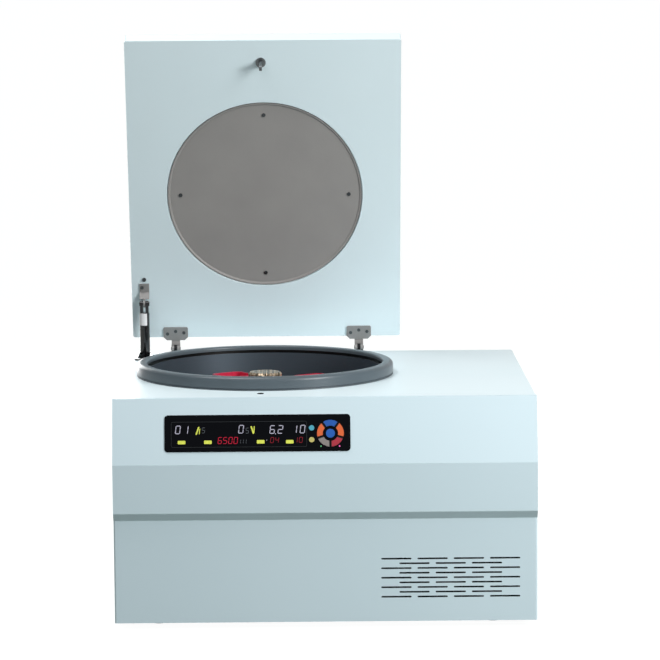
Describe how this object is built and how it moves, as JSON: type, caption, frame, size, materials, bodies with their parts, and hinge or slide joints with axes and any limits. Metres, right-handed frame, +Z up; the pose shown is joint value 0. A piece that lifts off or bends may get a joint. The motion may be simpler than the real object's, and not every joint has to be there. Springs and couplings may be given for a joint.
{
  "type": "laboratory centrifuge",
  "caption": "Bench-top refrigerated laboratory centrifuge with a rear-hinged square lid, round chamber gasket, swing-out rotor, sloped control window and slotted front.",
  "frame": {"origin": "on the bench, under the middle of the machine with its lid open", "axes": "+X to the operator's right, +Y to the rear, +Z up"},
  "size_m": [0.7, 0.6711, 0.9709],
  "materials": {
    "cabinet_paint": "smooth light bluish-white enamel",
    "front_paint": "smooth light bluish-white enamel",
    "base_steel": "zinc-plated sheet",
    "rubber_black": "matt",
    "gasket_grey": "satin grey rubber",
    "stainless": "deep-drawn stainless steel",
    "aluminium": "turned and anodised",
    "copper_jacket": "rolled copper",
    "foam": "closed-cell foam",
    "armour": "black primer",
    "anodised_red": "red anodised aluminium",
    "rack_plastic": "moulded plastic",
    "disc_grey": "matt grey sheet",
    "zinc": "zinc-plated",
    "strut_black": "gloss black",
    "window_black": "glossy",
    "board_green": "circuit board",
    "key_blue": "satin",
    "key_orange": "satin",
    "key_grey": "satin",
    "key_red": "satin",
    "key_cyan": "satin",
    "key_yellow": "satin",
    "plastic_black": "moulded"
  },
  "bodies": {
    "cabinet": {"base_plate": "base_steel", "bowl": "stainless", "bulkhead": "base_steel", "chamber_gasket": "gasket_grey", "chamber_insulation": "foam", "compressor": "armour", "condenser": "aluminium", "console_cover": "front_paint", "control_board": "board_green", "control_window": "window_black", "deck_panel": "cabinet_paint", "drive_motor": "aluminium", "evaporator_jacket": "copper_jacket", "fan_motor": "zinc", "fan_shroud": "plastic_black", "feet": "rubber_black", "guard_barrel": "armour", "hinge_brackets": "zinc", "left_side_panel": "cabinet_paint", "lock_housing": "zinc", "lower_front_panel": "front_paint", "motor_drive_unit": "aluminium", "power_inlet": "plastic_black", "rear_panel": "cabinet_paint", "right_side_panel": "cabinet_paint", "shaft_boot": "rubber_black", "strut_slot_trim": "rubber_black", "vibration_dampers": "rubber_black"},
    "lid": {"lid_outer_shell": "cabinet_paint", "lid_inner_panel": "cabinet_paint", "lid_insulation": "foam", "lid_disc": "disc_grey", "lid_screws": "zinc", "hinge_leaves": "zinc", "lock_striker": "zinc", "strut_lid_bracket": "zinc"},
    "strut_cylinder": {"strut_cylinder": "strut_black"},
    "strut_rod": {"strut_rod": "zinc"},
    "rotor": {"motor_shaft": "zinc", "rotor_head": "aluminium", "rotor_nut": "aluminium"},
    "fan": {"fan_rotor": "plastic_black"},
    "lock_bolt": {"lock_bolt": "zinc"},
    "power_rocker": {"switch_rocker": "plastic_black"},
    "bucket_1": {"bucket_1": "anodised_red", "tube_rack_1": "rack_plastic"},
    "bucket_2": {"bucket_2": "anodised_red", "tube_rack_2": "rack_plastic"},
    "bucket_3": {"bucket_3": "anodised_red", "tube_rack_3": "rack_plastic"},
    "bucket_4": {"bucket_4": "anodised_red", "tube_rack_4": "rack_plastic"},
    "key_centre": {"key_centre": "key_blue"},
    "key_left": {"key_left": "key_orange"},
    "key_lower_left": {"key_lower_left": "key_grey"},
    "key_lower_right": {"key_lower_right": "key_red"},
    "key_right": {"key_right": "key_orange"},
    "key_round_lower": {"key_round_lower": "key_yellow"},
    "key_round_upper": {"key_round_upper": "key_cyan"},
    "key_top": {"key_top": "key_blue"}
  },
  "joints": [
    {"name": "lid_hinge", "type": "hinge", "parent": "cabinet", "child": "lid", "pos_m": [0, 0.288, 0.393], "axis": [1, 0, 0], "range_deg": [0, 73.5]},
    {"name": "strut_pivot", "type": "hinge", "parent": "lid", "child": "strut_cylinder", "pos_m": [-0.325, 0.26041, 0.47911], "axis": [1, 0, 0], "range_deg": [-44.37, 0]},
    {"name": "strut_stroke", "type": "slide", "parent": "strut_cylinder", "child": "strut_rod", "axis": [0, 0.0601, -0.9982], "range_m": [-0.0608, 0]},
    {"name": "rotor_spin", "type": "hinge", "parent": "cabinet", "child": "rotor", "pos_m": [-0.102, -0.0065, 0.345], "axis": [0, 0, 1], "continuous": true},
    {"name": "bucket_1_swing", "type": "hinge", "parent": "rotor", "child": "bucket_1", "pos_m": [-0.01394, 0.05069, 0.345], "axis": [0.5446, -0.8387, 0], "range_deg": [0, 90]},
    {"name": "bucket_2_swing", "type": "hinge", "parent": "rotor", "child": "bucket_2", "pos_m": [-0.15919, 0.08156, 0.345], "axis": [0.8387, 0.5446, 0], "range_deg": [0, 90]},
    {"name": "bucket_3_swing", "type": "hinge", "parent": "rotor", "child": "bucket_3", "pos_m": [-0.19006, -0.06369, 0.345], "axis": [-0.5446, 0.8387, 0], "range_deg": [0, 90]},
    {"name": "bucket_4_swing", "type": "hinge", "parent": "rotor", "child": "bucket_4", "pos_m": [-0.04481, -0.09456, 0.345], "axis": [-0.8387, -0.5446, 0], "range_deg": [0, 90]},
    {"name": "key_centre_press", "type": "slide", "parent": "cabinet", "child": "key_centre", "axis": [0, 0.9696, -0.2447], "range_m": [0, 0.0005], "stiffness_N_per_m": 2000, "springref_m": -0.0005},
    {"name": "key_left_press", "type": "slide", "parent": "cabinet", "child": "key_left", "axis": [0, 0.9696, -0.2447], "range_m": [0, 0.0005], "stiffness_N_per_m": 2000, "springref_m": -0.0005},
    {"name": "key_lower_left_press", "type": "slide", "parent": "cabinet", "child": "key_lower_left", "axis": [0, 0.9696, -0.2447], "range_m": [0, 0.0005], "stiffness_N_per_m": 2000, "springref_m": -0.0005},
    {"name": "key_lower_right_press", "type": "slide", "parent": "cabinet", "child": "key_lower_right", "axis": [0, 0.9696, -0.2447], "range_m": [0, 0.0005], "stiffness_N_per_m": 2000, "springref_m": -0.0005},
    {"name": "key_right_press", "type": "slide", "parent": "cabinet", "child": "key_right", "axis": [0, 0.9696, -0.2447], "range_m": [0, 0.0005], "stiffness_N_per_m": 2000, "springref_m": -0.0005},
    {"name": "key_round_lower_press", "type": "slide", "parent": "cabinet", "child": "key_round_lower", "axis": [0, 0.9696, -0.2447], "range_m": [0, 0.0005], "stiffness_N_per_m": 2000, "springref_m": -0.0005},
    {"name": "key_round_upper_press", "type": "slide", "parent": "cabinet", "child": "key_round_upper", "axis": [0, 0.9696, -0.2447], "range_m": [0, 0.0005], "stiffness_N_per_m": 2000, "springref_m": -0.0005},
    {"name": "key_top_press", "type": "slide", "parent": "cabinet", "child": "key_top", "axis": [0, 0.9696, -0.2447], "range_m": [0, 0.0005], "stiffness_N_per_m": 2000, "springref_m": -0.0005},
    {"name": "power_rocker_tilt", "type": "hinge", "parent": "cabinet", "child": "power_rocker", "pos_m": [-0.165, 0.289, 0.08], "axis": [1, 0, 0], "range_deg": [0, 20]},
    {"name": "lock_bolt_slide", "type": "slide", "parent": "cabinet", "child": "lock_bolt", "axis": [1, 0, 0], "range_m": [0, 0.014]},
    {"name": "fan_spin", "type": "hinge", "parent": "cabinet", "child": "fan", "pos_m": [0.242, -0.25, 0.083], "axis": [0, 1, 0], "continuous": true}
  ],
  "couplings": [
    {"joint": "strut_pivot", "follows": "lid_hinge", "ratio": -0.603},
    {"joint": "strut_stroke", "follows": "lid_hinge", "m_per_rad": -0.04735}
  ]
}
